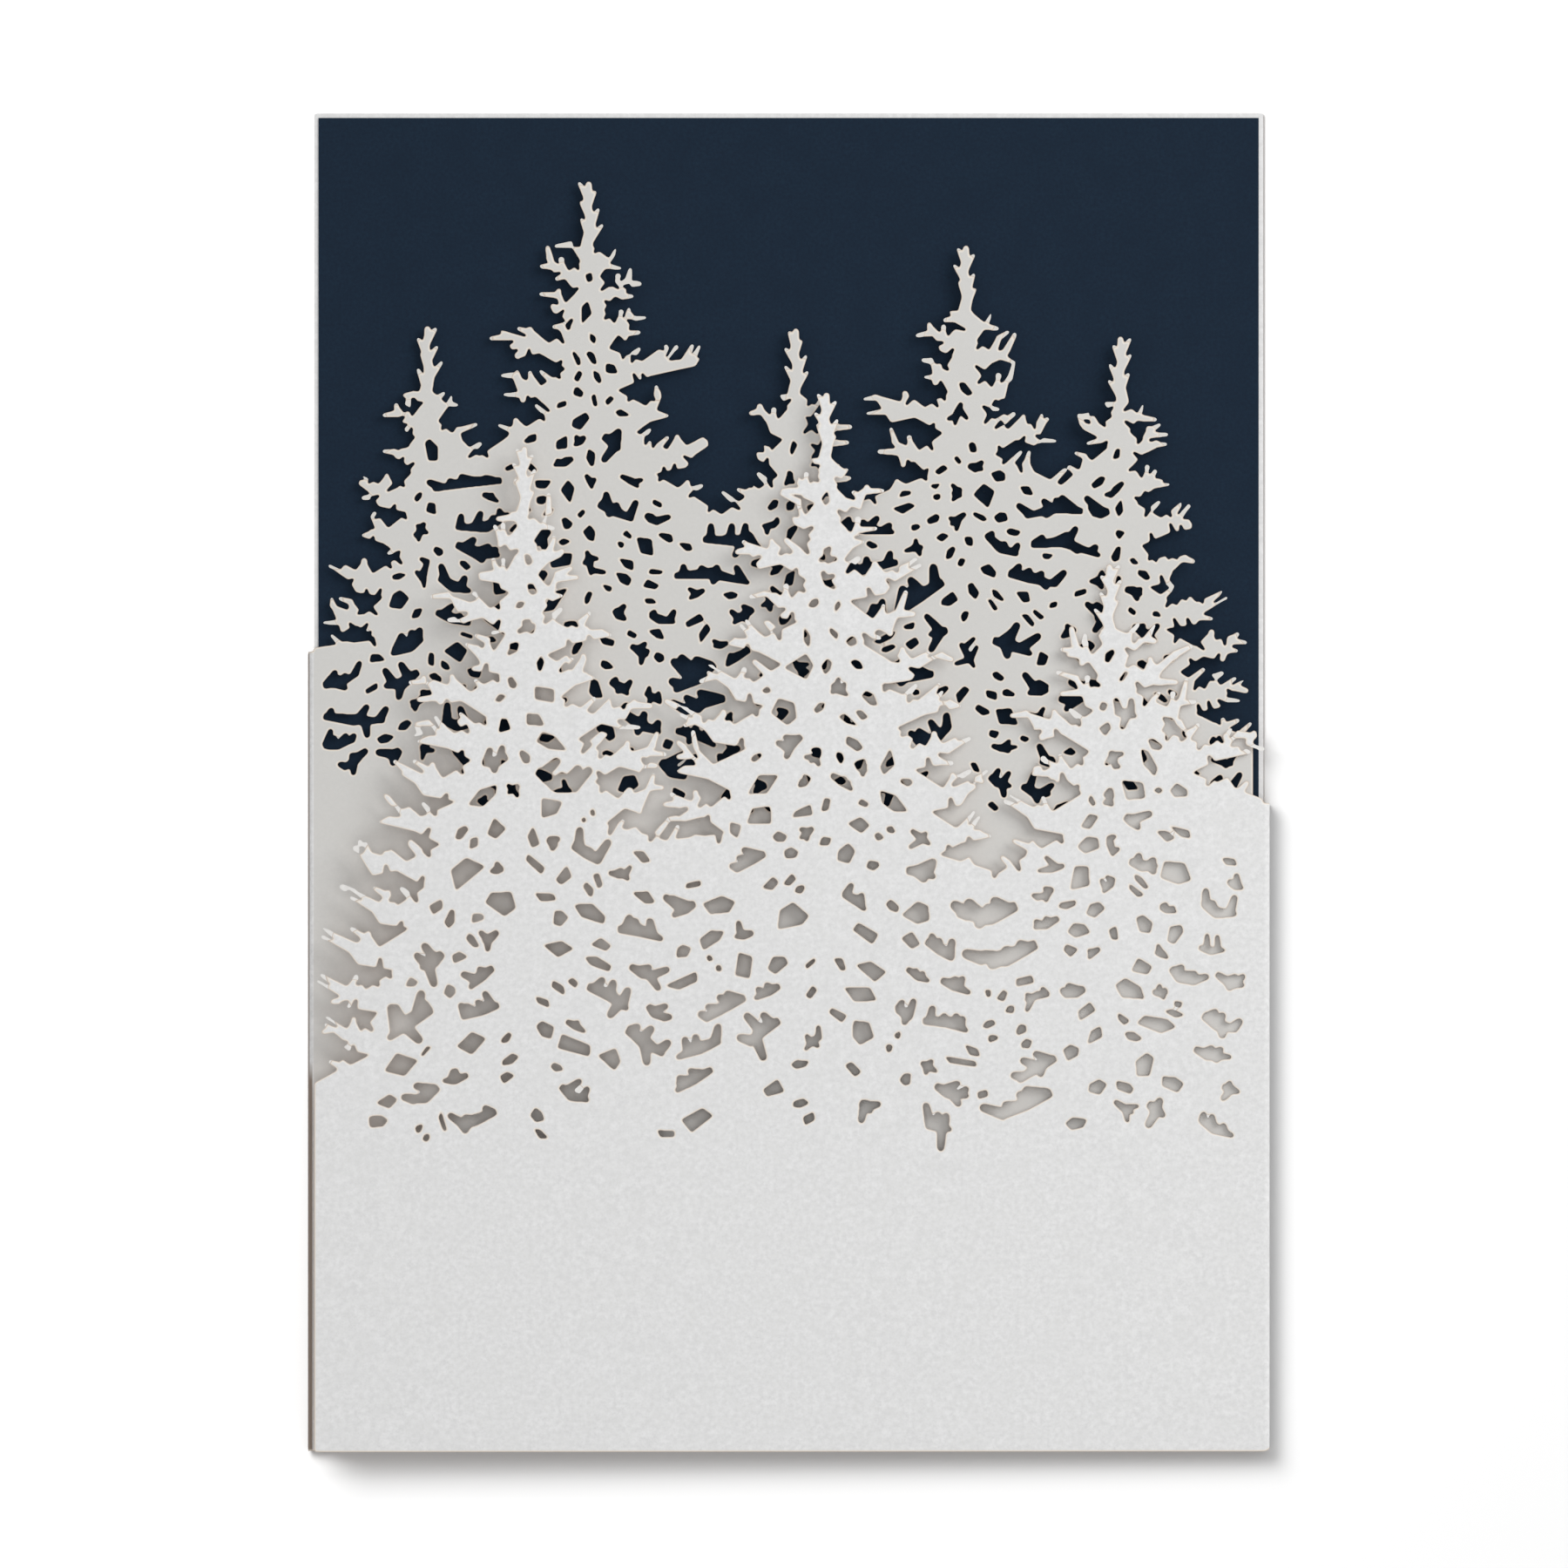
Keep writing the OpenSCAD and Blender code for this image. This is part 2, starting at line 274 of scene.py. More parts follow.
def nearest(trees, point):
    """The tree nearest to a point, and the way that its branches point there."""
    tree = min(trees, key=lambda tip: abs(tip[0] - point[0]))
    return tree, math.copysign(1, point[0] - tree[0])


def grow(loop, root):
    """Adds a needle to the card if it keeps clear of the other branches."""
    window, mask = cover(loop)
    if not (near_card[window] & mask & away_from(root, window, ROOT_ROOM)).any():
        card[window] |= mask


def crown(tree):
    """Draws a tree's leader anew, slim and a little bent, with barbs that rise on both sides in turn."""
    u, v = tree
    window, mask = cover(oblong((u - 5, v - CROWN_DEPTH), (u + 5, v + 1)))
    card[window] &= ~mask
    sway = rng.uniform(0, 6)

    def axis(depth):
        return np.array([u + 0.25 * math.sin(sway + depth) * min(1, depth / 3), v - depth])

    for depth in np.arange(0.3, CROWN_DEPTH + 1.5, 0.4):
        window, mask = cover(disc(axis(depth), 0.42 + 0.05 * depth))
        card[window] |= mask
    side = rng.choice((-1, 1))
    for depth in np.arange(1.5, CROWN_DEPTH, CROWN_PITCH):
        length = (1.5 + 0.13 * depth) * rng.uniform(0.85, 1.2)
        barb = turned((length, 0), rng.uniform(0.75, 1.05)) * (side, 1)
        window, mask = cover(spike(axis(depth + 0.5), axis(depth) + barb, 0.55, 0.2))
        card[window] |= mask
        side = -side


def dress_outline(loop, trees, low, high, spacing, lengths, tips):
    """Needles and knobs on a flap's branches. Returns the outline's notches, edges and blunt ends."""
    if area(loop) < 0:
        loop = loop[::-1]
    notches, edges, ends = [], [], []
    count = len(loop)
    blunt = False
    for i in range(count):
        before, here, after = loop[i - 1], loop[i], loop[(i + 1) % count]
        tree, out = nearest(trees, here)
        at_side = not (low + 0.2 < here[0] < high - 0.2)
        if at_side or here[1] < -HALF_H + 0.2 or tree[1] - here[1] < CROWN_DEPTH:
            continue
        a, b = here - before, after - here
        turn = math.atan2(a[0] * b[1] - a[1] * b[0], a[0] * b[0] + a[1] * b[1])
        inward = b / np.hypot(*b) - a / np.hypot(*a)
        inward = inward / max(np.hypot(*inward), 1e-6)
        length = np.hypot(*b)
        normal = np.array([b[1], -b[0]]) / length
        if turn > math.radians(70):
            window, mask = cover(disc(here + 0.35 * inward, rng.uniform(0.3, 0.46)))
            card[window] |= mask
        elif turn < -math.radians(60):
            notches.append((here, inward))
        if blunt and turn > math.radians(45) and 1 < np.hypot(*a) < 2.8:
            ends.append((here - a / 2, np.array([-a[1], a[0]]) / np.hypot(*a)))
        blunt = turn > math.radians(45)
        edges.append((here, b, normal))
        for _ in range(int(length / spacing + rng.uniform(0, 0.9))):
            root = here + b * rng.uniform(0.12, 0.88)
            lean = 0.7 * normal + np.array([0.7 * out, 0.3])
            tip = root + lean / np.hypot(*lean) * rng.uniform(*lengths)
            end_half = rng.uniform(*tips)
            grow(spike(root - 0.3 * normal, tip, end_half + 0.2, end_half), root)
    return notches, edges, ends


for tree in far_trees + near_trees:
    crown(tree)
far_notches, far_edges, far_ends = dress_outline(
    far_loops[0], far_trees, 0, FAR_FOLD, spacing=2.5, lengths=(1.0, 2.5), tips=(0.17, 0.3))
near_notches, near_edges, near_ends = dress_outline(
    near_loops[0], near_trees, NEAR_FOLD, SHEET_END, spacing=2.9, lengths=(1.1, 2.7), tips=(0.22, 0.38))


def column(u):
    """Column of the grid at a length along the sheet."""
    return int(round((u - ORIGIN[0]) / PITCH))


card[:, :column(far_loops[0][:, 0].min())] = False
card[:, column(near_loops[0][:, 0].max()):] = False
WEB_CELLS = int(round(WEB / PITCH))
taken = widen(~card, WEB_CELLS)[WEB_CELLS:-WEB_CELLS, WEB_CELLS:-WEB_CELLS]
taken[:, column(FAR_FOLD - FAR_FOLD_ROOM):column(NEAR_FOLD + NEAR_FOLD_ROOM)] = True


def cut(loops, root=None, room=ROOT_ROOM, spare=0):
    """Takes loops out of the card as one, if they keep clear of other cuts except where they start."""
    corners = (np.vstack(loops) - ORIGIN) / PITCH
    low = np.floor(corners.min(0)).astype(int) - 1
    high = np.ceil(corners.max(0)).astype(int) + 3
    window = grid_window(low, high)
    mask = np.zeros((high[1] - low[1], high[0] - low[0]), bool)
    for loop in loops:
        (rows, columns), inside = cover(loop)
        mask[rows.start - low[1]:rows.stop - low[1], columns.start - low[0]:columns.stop - low[0]] |= inside
    clear = mask & away_from(root, window, room) if root is not None else mask
    if (taken[grid_window(low, high, spare)] & widen(clear, spare)).any():
        return False
    card[window] &= ~mask
    taken[grid_window(low, high, WEB_CELLS)] |= widen(mask, WEB_CELLS)
    return True


def chip(centre, half_w, half_h, angle):
    """Plain cut-out with four or five uneven corners."""
    count = rng.integers(4, 6)
    around = (np.arange(count) + rng.uniform(-0.28, 0.28, count)) * 2 * math.pi / count + rng.uniform(0, 6)
    size = rng.uniform(0.8, 1.1, count)
    p = np.column_stack([half_w * size * np.cos(around), half_h * size * np.sin(around)])
    return [np.array([turned(q, angle) for q in p]) + centre]


def sprig(root, along, half, fingers, finger_len, lean):
    """Cut-out with a bent, tapered body, fingers on one side of it and at times one on the other."""
    root, along = np.asarray(root), np.asarray(along)
    unit = along / np.hypot(*along)
    middle = root + along * rng.uniform(0.4, 0.6) + turned(along, 1.57) * rng.uniform(-0.12, 0.12)
    ends = root + along
    loops = [spike(root, middle, 0.55 * half, half),
             spike(middle, ends, half, 0.4 * half),
             disc(middle, half)]
    shares = list((np.arange(fingers) + rng.uniform(0.2, 0.8, fingers)) / fingers)
    leans = [lean * rng.uniform(0.7, 1.2) for _ in shares]
    if rng.random() < 0.6:
        shares.append(rng.uniform(0.3, 0.8))
        leans.append(-lean * rng.uniform(0.6, 1))
    for share, angle in zip(shares, leans):
        if share < 0.5:
            foot = root + 2 * share * (middle - root)
        else:
            foot = middle + (2 * share - 1) * (ends - middle)
        finger = turned(unit, angle) * finger_len * rng.uniform(0.4, 1.2)
        loops.append(spike(foot, foot + finger, 0.85 * half, 0.55 * half))
    return loops


def pair(centre, half_w, half_h, angle):
    """Two slim cut-outs, one over the other."""
    loops = []
    for side in (-1, 1):
        middle = centre + turned((rng.uniform(-0.35, 0.35) * half_w, side * (0.5 * half_h + 0.15)), angle)
        wide = half_w * rng.uniform(0.5, 1.05)
        tilt = angle + rng.uniform(-0.4, 0.4)
        loops += chip(middle, wide, max(LEAST_CHIP_HALF, 0.4 * half_h), tilt)
    return loops


def joined(loops, joined_share):
    """The boxes of the cut-outs in the solids, with a share of the neighbours in a row taken together."""
    boxes = [(loop.min(0), loop.max(0)) for loop in loops]
    boxes.sort(key=lambda box: (round(box[0][1] / 3), box[0][0]))
    out = []
    while boxes:
        low, high = boxes.pop(0)
        for k, (other_low, other_high) in enumerate(boxes[:4]):
            beside = other_low[0] - high[0]
            level = abs(other_low[1] + other_high[1] - low[1] - high[1]) / 2
            if 0 < beside < 1.8 and level < 1.2 and rng.random() < joined_share:
                low, high = np.minimum(low, other_low), np.maximum(high, other_high)
                boxes.pop(k)
                break
        out.append((low, high))
    return out


def main_cuts(loops, trees, growth, joined_share, chip_share):
    """Cut-outs with grown forms in the places of the plain ones in the solids."""
    for low, high in joined(loops, joined_share):
        middle, (half_w, half_h) = (low + high) / 2, (high - low) / 2 * growth
        _, out = nearest(trees, middle)
        middle = middle + rng.uniform(-1, 1, 2) * (1.0, 0.5)
        sag = -out * rng.uniform(0.15, 0.75)
        kind = rng.random()
        for shrink in (1, 0.85, 0.7, 0.55):
            wide, tall = half_w * shrink, half_h * shrink
            if wide < 3 and (kind < chip_share or wide * tall < 1):
                made = chip(middle, wide, 0.85 * tall, sag)
            elif wide < 3 and kind < chip_share + 0.15:
                made = pair(middle, wide, tall, 1.4 * sag)
            else:
                along = turned((1.8 * out * wide, 0), sag * min(1, 2 * tall / wide))
                lean = out * rng.choice((0.9, 1.3, 2.0))
                body = min(0.95, 0.3 + 0.2 * tall + 0.05 * wide)
                fingers = min(4, int(round(wide * rng.uniform(0.8, 1.4))))
                made = sprig(middle - along / 2 - (0, 0.3 * tall), along, body, fingers, 1.3 * tall, lean)
            if cut(made):
                break


def small_cuts(trees, zone, count, spare, sizes, sprig_share):
    """Chips and small sprays scattered where a flap has room for them."""
    rows, columns = np.nonzero(zone)
    for pick in rng.integers(0, len(rows), count):
        centre = np.array([columns[pick], rows[pick]]) * PITCH + ORIGIN
        tree, out = nearest(trees, centre)
        steep = max(0, 1 - abs(centre[0] - tree[0]) / 4)
        size = rng.uniform(*sizes)
        angle = -out * (rng.uniform(0, 0.7) + 0.8 * steep)
        if rng.random() < sprig_share:
            along = turned((2 * out * size, 0), angle)
            lean = out * rng.choice((0.9, 1.3, 2.0))
            made = sprig(centre - along / 2, along, 0.5, rng.integers(1, 3), 1.1 * size, lean)
        else:
            made = chip(centre, size, max(LEAST_CHIP_HALF, size * rng.uniform(0.42, 0.7)), angle)
        cut(made, spare=spare)


def crowns(trees, top, bottom, spread):
    """Where the upper parts of a flap's trees are, between two depths."""
    zone = np.zeros_like(card)
    for u, v in trees:
        half = spread * bottom
        window, mask = cover([(u, v - top), (u - half, v - bottom), (u + half, v - bottom)])
        zone[window] |= mask
    return zone & card


def round_cuts(loops):
    """Where a flap has the solids' cut-outs, and a little round them."""
    zone = np.zeros_like(card)
    for loop in loops[1:]:
        (rows, columns), mask = cover(loop)
        low, high = (columns.start, rows.start), (columns.stop, rows.stop)
        zone[grid_window(low, high, ROUND_CELLS)] |= widen(mask, ROUND_CELLS)
    return zone & card


def beside_trunks(trees, low, high):
    """Strips on both sides of a flap's trunks, between two heights above the bottom edge."""
    zone = np.zeros_like(card)
    for u, _ in trees:
        for start, end in ((-4.5, -1.7), (1.7, 4.5)):
            window, mask = cover(oblong((u + start, low - HALF_H), (u + end, high - HALF_H)))
            zone[window] |= mask
    return zone & card


def valleys(trees, spread):
    """Feet of the gaps between the trees of a forest."""
    row = sorted(trees)
    for a, b in zip(row, row[1:]):
        v = (a[1] + b[1]) / 2 - (b[0] - a[0]) / (2 * spread)
        yield np.array([a[0] + spread * (a[1] - v), v])


def wide_cuts(feet, drops, half, finger_len):
    """Wide sprays cut out just below the gaps between the trees."""
    for foot in feet:
        for drop in drops:
            way = rng.choice((-1, 1))
            along = np.array([way * rng.uniform(7, 10), -rng.uniform(0.3, 2)])
            start = foot + (rng.uniform(-1.5, 1.5), -drop) - along / 2
            cut(sprig(start, along, half, 4, finger_len, way * rng.choice((0.7, 1.0, 2.1))))


def fold_cuts():
    """Sprays that start right beside the far fold."""
    for drop, length, rise in ((4.6, 4.5, 1.6), (8.6, 8, -0.6), (12.6, 4, 0.8)):
        start = (FAR_FOLD - 1.3, FAR_FOLD_TOP - drop)
        half = rng.uniform(0.55, 0.8)
        fingers = rng.integers(2, 5)
        lean = -rng.uniform(0.6, 1.9)
        cut(sprig(start, (-length, rise), half, fingers, 2.1, lean))


def nick(edges, spacing, half):
    """Nicks between the needles on the branches."""
    for here, b, normal in edges:
        for _ in range(int(np.hypot(*b) / spacing + rng.uniform(0, 0.8))):
            root = here + b * rng.uniform(0.15, 0.85)
            heading = turned(-normal, rng.uniform(-0.5, 0.5))
            depth = rng.uniform(0.5, 1.3)
            cut([spike(root + 0.4 * normal, root + heading * depth, half, 0.45 * half)], root, NICK_ROOM)


def forks(ends):
    """Slits that part the blunt ends of the branches into two fingers."""
    for middle, inward in ends:
        heading = turned(inward, rng.uniform(-0.15, 0.15)) * rng.uniform(1.0, 2.0)
        cut([spike(middle - 0.8 * inward, middle + heading, 0.34, 0.16)], middle, FORK_ROOM)


def bays(notches):
    """Slits that carry the notches further into the trees."""
    for root, inward in notches:
        for length in (rng.uniform(2.2, 4.2), 1.7, 1.0):
            heading = turned(inward, rng.uniform(-0.4, 0.4)) * length
            if cut([spike(root - 0.4 * inward, root + heading, 0.36, rng.uniform(0.24, 0.36))], root):
                break


forks(far_ends + near_ends)
bays(far_notches + near_notches)
nick(far_edges, spacing=1.8, half=0.42)
nick(near_edges, spacing=2.4, half=0.52)
wide_cuts(valleys(far_trees, spread=0.4), drops=(3.8, 8.6), half=0.75, finger_len=2.2)
wide_cuts(list(valleys(near_trees, spread=0.36))[:1], drops=(5, 10.5), half=1.1, finger_len=2.4)
fold_cuts()
main_cuts(far_loops[1:], far_trees, growth=1.3, joined_share=0.33, chip_share=0.22)
main_cuts(near_loops[1:], near_trees, growth=1.2, joined_share=0.12, chip_share=0.45)
small_cuts(far_trees, crowns(far_trees, top=9, bottom=60, spread=0.3),
           count=1500, spare=3, sizes=(1.0, 2.0), sprig_share=0.7)
small_cuts(far_trees, crowns(far_trees, top=9, bottom=50, spread=0.3),
           count=1200, spare=2, sizes=(0.95, 1.5), sprig_share=0.3)
small_cuts(near_trees, crowns(near_trees, top=9, bottom=60, spread=0.3),
           count=1500, spare=4, sizes=(0.9, 1.9), sprig_share=0.6)
small_cuts(near_trees, crowns(near_trees, top=9, bottom=34, spread=0.27),
           count=500, spare=3, sizes=(0.85, 1.3), sprig_share=0.3)
small_cuts(far_trees, round_cuts(far_loops),
           count=2500, spare=1, sizes=(0.95, 1.7), sprig_share=0.4)
small_cuts(near_trees, beside_trunks(near_trees, low=42, high=74),
           count=150, spare=4, sizes=(1.1, 1.7), sprig_share=0.2)
small_cuts(near_trees, round_cuts(near_loops),
           count=600, spare=4, sizes=(1.05, 1.8), sprig_share=0.4)


# Cut lines of the sheet

def soften(mask, sigma):
    """The mask as a smooth field."""
    reach = int(math.ceil(3 * sigma / PITCH))
    x = np.arange(-reach, reach + 1) * PITCH
    weights = np.exp(-0.5 * (x / sigma) ** 2)
    weights = (weights / weights.sum()).astype(np.float32)
    field = mask.astype(np.float32)
    for axis in (0, 1):
        total = np.zeros_like(field)
        for k, weight in zip(range(-reach, reach + 1), weights):
            total += weight * np.roll(field, k, axis)
        field = total
    return field


# Crossings of a grid cell's bottom, right, top and left sides, with the card on the left of each line
LINES = {1: "BL", 2: "RB", 3: "RL", 4: "TR", 5: "BLTR", 6: "TB", 7: "TL", 8: "LT", 9: "BT", 10: "RBLT",
         11: "RT", 12: "LR", 13: "BR", 14: "LB"}


def contour_loops(field, level):
    """Closed lines on which the field crosses a level, with the card on their left."""
    inside = field > level
    case = (inside[:-1, :-1] * 1 + inside[:-1, 1:] * 2 + inside[1:, 1:] * 4 + inside[1:, :-1] * 8)
    size = ROWS * COLUMNS
    side = {"B": lambda r, c: r * COLUMNS + c, "T": lambda r, c: (r + 1) * COLUMNS + c,
            "L": lambda r, c: size + r * COLUMNS + c, "R": lambda r, c: size + r * COLUMNS + c + 1}
    following = {}
    for number, line in LINES.items():
        r, c = np.nonzero(case == number)
        for k in range(0, len(line), 2):
            following.update(zip(side[line[k]](r, c).tolist(), side[line[k + 1]](r, c).tolist()))
    loops = []
    while following:
        start, at = following.popitem()
        ids = [start]
        while at != start:
            ids.append(at)
            at = following.pop(at)
        ids = np.array(ids)
        upright = ids >= size
        cell = ids - size * upright
        r, c = cell // COLUMNS, cell % COLUMNS
        a, b = field[r, c], field[r + upright, c + ~upright]
        share = (level - a) / (b - a)
        loops.append((np.column_stack([c + share * ~upright, r + share * upright]) + 0.5) * PITCH + ORIGIN)
    return loops


def at_bends(points):
    """Numbers of the points that lie where the sheet bends."""
    u = points[:, 0]
    left = (u > FAR_FOLD - PITCH) & (u < BACK_START + PITCH)
    right = (u > BACK_END - PITCH) & (u < NEAR_FOLD + PITCH)
    return np.nonzero(left | right)[0].tolist()


def thinned(loop):
    """The points of a closed line that keep it within the tolerance, with all of those at the bends."""
    far = int(np.argmax(np.hypot(*(loop - loop[0]).T)))
    closed = np.vstack([loop, loop[:1]])
    keep = {0, far, *at_bends(loop)}
    todo = [(0, far), (far, len(loop))]
    while todo:
        a, b = todo.pop()
        if b - a < 2:
            continue
        along = closed[b] - closed[a]
        rel = closed[a + 1:b] - closed[a]
        off = np.abs(rel[:, 0] * along[1] - rel[:, 1] * along[0]) / max(np.hypot(*along), 1e-9)
        k = int(np.argmax(off))
        if off[k] > LINE_TOLERANCE:
            keep.add(a + 1 + k)
            todo += [(a, a + 1 + k), (a + 1 + k, b)]
    return loop[sorted(keep)]


field = soften(card, CUT_SOFTNESS)
cut_lines = contour_loops(field, CUT_LEVEL)
sheet_line = max(cut_lines, key=area)
cut_lines = [thinned(sheet_line)] + [thinned(p) for p in cut_lines if area(p) < -LEAST_AREA]
cut_count = sum(len(line) for line in cut_lines)
rim_lines = [thinned(p) for p in contour_loops(field, RIM_LEVEL) if abs(area(p)) > LEAST_AREA]


# The flat sheet, with its thickness

def lattice():
    """Points that let the sheet bend at its folds, and the links between them along the bends' borders."""
    points, borders = [], []
    for start, end, top in ((FAR_FOLD, BACK_START, FAR_FOLD_TOP), (BACK_END, NEAR_FOLD, NEAR_FOLD_TOP)):
        across = LENGTHS[(LENGTHS > start - 0.01) & (LENGTHS < end + 0.01)]
        first, width = len(points), len(across)
        for v in np.linspace(-HALF_H + 1.2, top - 0.9, 40):
            points += [(u, v) for u in across]
        for side in (first, first + width - 1):
            ids = range(side, len(points), width)
            borders += zip(ids, ids[1:])
    return np.array(points), borders


def faces_inside(lines, loose, borders):
    """Points of the lines and the lattice, and the card's triangles between them. Cut lines come first."""
    points = np.vstack(lines + [loose])
    edges, first = [], 0
    for line in lines:
        ids = list(range(first, first + len(line)))
        edges += zip(ids, ids[1:] + ids[:1])
        first += len(line)
    edges += [(first + a, first + b) for a, b in borders]
    corners = oblong(ORIGIN - 1, ORIGIN + np.array([COLUMNS, ROWS]) * PITCH + 1)
    total = len(points)
    verts, out_edges, faces, from_verts, from_edges, _ = delaunay_2d_cdt(
        [Vector(p) for p in points] + [Vector(p) for p in corners], edges, [], 0, 1e-6)
    source = [ids[0] if ids else -1 for ids in from_verts]
    fences = {tuple(sorted(e)) for e, ids in zip(out_edges, from_edges) if any(i < cut_count for i in ids)}
    beside = {}
    for number, face in enumerate(faces):
        for a, b in zip(face, face[1:] + face[:1]):
            beside.setdefault((min(a, b), max(a, b)), []).append(number)
    state = {next(n for n, f in enumerate(faces) if any(source[v] >= total for v in f)): False}
    todo = deque(state)
    while todo:
        number = todo.popleft()
        face = faces[number]
        for a, b in zip(face, face[1:] + face[:1]):
            edge = (min(a, b), max(a, b))
            for other in beside[edge]:
                if other not in state:
                    state[other] = state[number] != (edge in fences)
                    todo.append(other)
    inside = [[source[v] for v in faces[n]] for n, solid in state.items() if solid]
    return points, [face for face in inside if min(face) >= 0]


loose, borders = lattice()
points, outer_faces = faces_inside(cut_lines + rim_lines, loose, borders)
inner_points, inner_faces = faces_inside(cut_lines, loose, borders)


def scored_fold_and_painted_shade():
    """How strongly each point is browned along the far fold: a thin scorched crease all along, widened below
    a height into a painted shade of the near flap beside its plain edge.
    """
    shade_reach, thin_reach, fade, thin_strength = 0.46, 0.28, 0.06, 0.85
    turn = (points[:, 0] - FAR_FOLD) / (BACK_START - FAR_FOLD)
    low = points[:, 1] < FOLD_SHADE_TOP
    reach = np.where(low, shade_reach, thin_reach)
    return np.clip((reach - np.abs(turn - 0.5)) / fade, 0, 1) * np.where(low, 1, thin_strength)


def store(mesh, name, domain, values):
    """Keeps a value for each point or face on the mesh."""
    mesh.attributes.new(name, "FLOAT", domain).data.foreach_set("value", values)


def flat_sheet():
    """Mesh of the cut sheet before it is folded: length along the sheet, height and thickness."""
    total = len(points)
    outer_w = np.full(total, CARD_T)
    outer_w[:cut_count] -= EDGE_DROP
    inner_w = np.zeros(len(inner_points))
    verts = np.vstack([np.column_stack([points, outer_w]), np.column_stack([inner_points, inner_w])])
    faces = [face[::-1] for face in outer_faces]
    faces += [[total + v for v in face] for face in inner_faces]
    caps = len(faces)
    first = 0
    for line in cut_lines:
        ids = list(range(first, first + len(line)))
        faces += [(a, b, total + b, total + a) for a, b in zip(ids, ids[1:] + ids[:1])]
        first += len(line)
    mesh = bpy.data.meshes.new("folded_card")
    mesh.from_pydata((verts * MM).tolist(), [], faces)
    on_flap = (points[:cut_count, 0] < FAR_FOLD) | (points[:cut_count, 0] > NEAR_FOLD)
    # Nearness to a cut edge: on top the material paints a highlight and a darker edge partly as shade there;     on the flaps' undersides it marks the scorch
    scorch = np.zeros(len(verts))
    scorch[:cut_count] = 1
    scorch[total:total + cut_count] = np.where(on_flap, 2, 0)
    store(mesh, "scorch", "POINT", scorch)
    # Thin scorched crease along the far fold, widened low down into a painted shade
    store(mesh, "score", "POINT", np.concatenate([scored_fold_and_painted_shade(), inner_w]))
    # Faces of the far flap, where the material paints shade
    store(mesh, "far_flap", "FACE", [float(verts[list(face), 0].mean() < FAR_FOLD) for face in faces])
    store(mesh, "cut_wall", "FACE", [float(number >= caps) for number in range(len(faces))])
    store(mesh, "broad", "FACE", [float(max(face) >= cut_count) for face in faces])
    return mesh


# Materials

def link(tree, start, end):
    """Joins two sockets."""
    tree.links.new(start, end)


def new_node(tree, kind, **values):
    """A node with its settings and input values."""
    made = tree.nodes.new(kind)
    for name, value in values.items():
        if hasattr(made, name):
            setattr(made, name, value)
        else:
            made.inputs[name.replace("_", " ")].default_value = value
    return made


def srgb(red, green, blue):
    """Linear colour of screen values from 0 to 255."""
    return tuple(((c / 255 + 0.055) / 1.055) ** 2.4 if c > 10 else c / 255 / 12.92
                 for c in (red, green, blue)) + (1,)


def paper_grain():
    """Group for the tooth of a paper: a fine fleck, a broad mottle and a height for bump."""
    tree = bpy.data.node_groups.new("paper_grain", "ShaderNodeTree")
    tree.interface.new_socket("Fleck scale", in_out="INPUT", socket_type="NodeSocketFloat")
    tree.interface.new_socket("Mottle scale", in_out="INPUT", socket_type="NodeSocketFloat")
    for name in ("Fleck", "Mottle", "Height"):
        tree.interface.new_socket(name, in_out="OUTPUT", socket_type="NodeSocketFloat")
    given = new_node(tree, "NodeGroupInput")
    out = new_node(tree, "NodeGroupOutput")
    place = new_node(tree, "ShaderNodeTexCoord")
    fine = new_node(tree, "ShaderNodeTexNoise", Detail=3.0, Roughness=0.6)
    broad = new_node(tree, "ShaderNodeTexNoise", Detail=2.0, Roughness=0.5)
    for texture, scale in ((fine, "Fleck scale"), (broad, "Mottle scale")):
        link(tree, place.outputs["Object"], texture.inputs["Vector"])
        link(tree, given.outputs[scale], texture.inputs["Scale"])
    link(tree, fine.outputs["Fac"], out.inputs["Fleck"])
    link(tree, broad.outputs["Fac"], out.inputs["Mottle"])
    both = new_node(tree, "ShaderNodeMath", operation="MULTIPLY_ADD")
    both.inputs[1].default_value = 0.4
    link(tree, broad.outputs["Fac"], both.inputs[0])
    link(tree, fine.outputs["Fac"], both.inputs[2])
    link(tree, both.outputs["Value"], out.inputs["Height"])
    return tree


GRAIN = paper_grain()


def paper_material(name):
    """A material with a Principled shader and a grain group, and its tree and both nodes."""
    material = bpy.data.materials.new(name)
    material.use_nodes = True
    tree = material.node_tree
    shader = tree.nodes["Principled BSDF"]
    grain = new_node(tree, "ShaderNodeGroup", node_tree=GRAIN)
    return material, tree, shader, grain


def mix(tree, factor, low, high):
    """Colour between two colours or sockets, by a factor."""
    made = new_node(tree, "ShaderNodeMix", data_type="RGBA")
    for socket, value in ((made.inputs[0], factor), (made.inputs[6], low), (made.inputs[7], high)):
        if isinstance(value, bpy.types.NodeSocket):
            link(tree, value, socket)
        else:
            socket.default_value = value
    return made.outputs[2]


def ramp(tree, source, low, high, to_low=0.0, to_high=1.0):
    """A value spread from one range to another."""
    made = new_node(tree, "ShaderNodeMapRange")
    for socket, value in zip(made.inputs[1:5], (low, high, to_low, to_high)):
        socket.default_value = value
    link(tree, source, made.inputs[0])
    return made.outputs[0]


def product(tree, first, second):
    """Product of two values."""
    made = new_node(tree, "ShaderNodeMath", operation="MULTIPLY")
    link(tree, first, made.inputs[0])
    link(tree, second, made.inputs[1])
    return made.outputs["Value"]


def attribute(tree, name):
    """A value stored on the mesh."""
    return new_node(tree, "ShaderNodeAttribute", attribute_name=name).outputs["Fac"]


